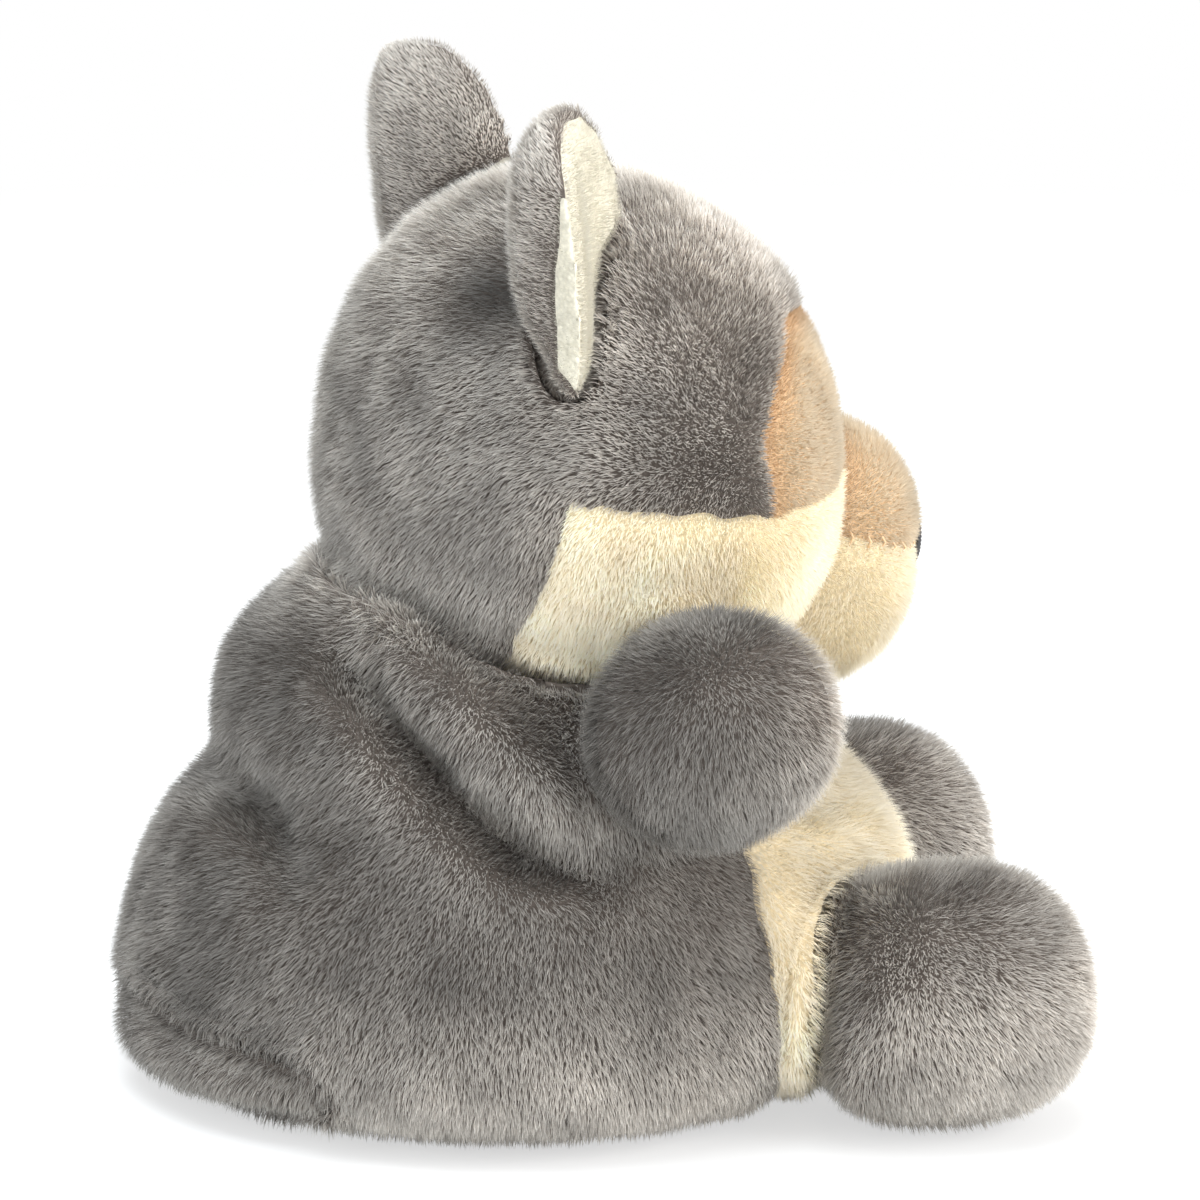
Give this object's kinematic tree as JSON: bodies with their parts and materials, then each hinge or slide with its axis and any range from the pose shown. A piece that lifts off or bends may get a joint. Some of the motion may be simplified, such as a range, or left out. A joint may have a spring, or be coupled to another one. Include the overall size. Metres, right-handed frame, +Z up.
{
  "type": "plush wolf",
  "caption": "Seated palm-size plush wolf in grey, cream and tan pile, bean-filled seat, soft head, ears, arms, legs and tail that flex on their seams.",
  "frame": {"origin": "middle of the flat underside of the seat, on the surface that the toy sits on", "axes": "+Z up, the body faces -Y, the wolf's own right side is -X"},
  "size_m": [0.1294, 0.1183, 0.126],
  "materials": {
    "grey_pile": "short dense pile, grey with paler tips",
    "cream_pile": "short dense pile, cream",
    "tan_pile": "short dense pile, tan",
    "white_pile": "short dense pile, off-white",
    "fibre_fill": "loose polyester fibre",
    "pellet_fill": "loose plastic pellets",
    "eye_plastic": "polished black",
    "washer_plastic": "moulded, satin",
    "nose_thread": "satin-stitched embroidery thread"
  },
  "bodies": {
    "torso": {"torso_cover": "grey_pile", "belly_panel": "cream_pile", "torso_fill": "fibre_fill", "pellet_pouch": "pellet_fill"},
    "head": {"head_crown": "grey_pile", "cheek_left": "cream_pile", "cheek_right": "cream_pile", "eye_patch_left": "tan_pile", "eye_patch_right": "tan_pile", "muzzle_top": "tan_pile", "muzzle_chin": "cream_pile", "head_fill": "fibre_fill", "eye_left": "eye_plastic", "eye_right": "eye_plastic", "eye_washer_left": "washer_plastic", "eye_washer_right": "washer_plastic", "nose_embroidery": "nose_thread"},
    "ear_left": {"ear_back_left": "grey_pile", "ear_lining_left": "white_pile"},
    "ear_right": {"ear_back_right": "grey_pile", "ear_lining_right": "white_pile"},
    "arm_left": {"arm_cover_left": "grey_pile", "arm_fill_left": "fibre_fill"},
    "arm_right": {"arm_cover_right": "grey_pile", "arm_fill_right": "fibre_fill"},
    "leg_left": {"leg_cover_left": "grey_pile", "leg_fill_left": "fibre_fill"},
    "leg_right": {"leg_cover_right": "grey_pile", "leg_fill_right": "fibre_fill"},
    "tail": {"tail_cover": "grey_pile", "tail_fill": "fibre_fill"}
  },
  "joints": [
    {"name": "head_turn", "type": "hinge", "parent": "torso", "child": "head", "pos_m": [0, -0.007, 0.05], "axis": [0, 0, 1], "range_deg": [-12, 6], "stiffness_Nm_per_rad": 0.03},
    {"name": "ear_fold_left", "type": "hinge", "parent": "head", "child": "ear_left", "pos_m": [0.02258, 0.007, 0.104], "axis": [0.64, 0.3999, -0.6561], "range_deg": [-12, 12], "stiffness_Nm_per_rad": 0.01},
    {"name": "ear_fold_right", "type": "hinge", "parent": "head", "child": "ear_right", "pos_m": [-0.02632, -0.00339, 0.104], "axis": [-0.7092, 0.2581, -0.6561], "range_deg": [-12, 12], "stiffness_Nm_per_rad": 0.01},
    {"name": "arm_swing_left", "type": "hinge", "parent": "torso", "child": "arm_left", "pos_m": [0.047, -0.0163, 0.0545], "axis": [0, 0, 1], "range_deg": [-20, 15], "stiffness_Nm_per_rad": 0.01},
    {"name": "arm_swing_right", "type": "hinge", "parent": "torso", "child": "arm_right", "pos_m": [-0.047, -0.0163, 0.0545], "axis": [0, 0, 1], "range_deg": [-15, 20], "stiffness_Nm_per_rad": 0.01},
    {"name": "leg_lift_left", "type": "hinge", "parent": "torso", "child": "leg_left", "pos_m": [0.033, -0.047, 0.0157], "axis": [-1, 0, 0], "range_deg": [0, 16], "stiffness_Nm_per_rad": 0.01},
    {"name": "leg_lift_right", "type": "hinge", "parent": "torso", "child": "leg_right", "pos_m": [-0.033, -0.047, 0.0157], "axis": [-1, 0, 0], "range_deg": [0, 16], "stiffness_Nm_per_rad": 0.01},
    {"name": "tail_swing", "type": "hinge", "parent": "torso", "child": "tail", "pos_m": [0, 0.045, 0.0082], "axis": [0, 0, 1], "range_deg": [-30, 0], "stiffness_Nm_per_rad": 0.005}
  ]
}
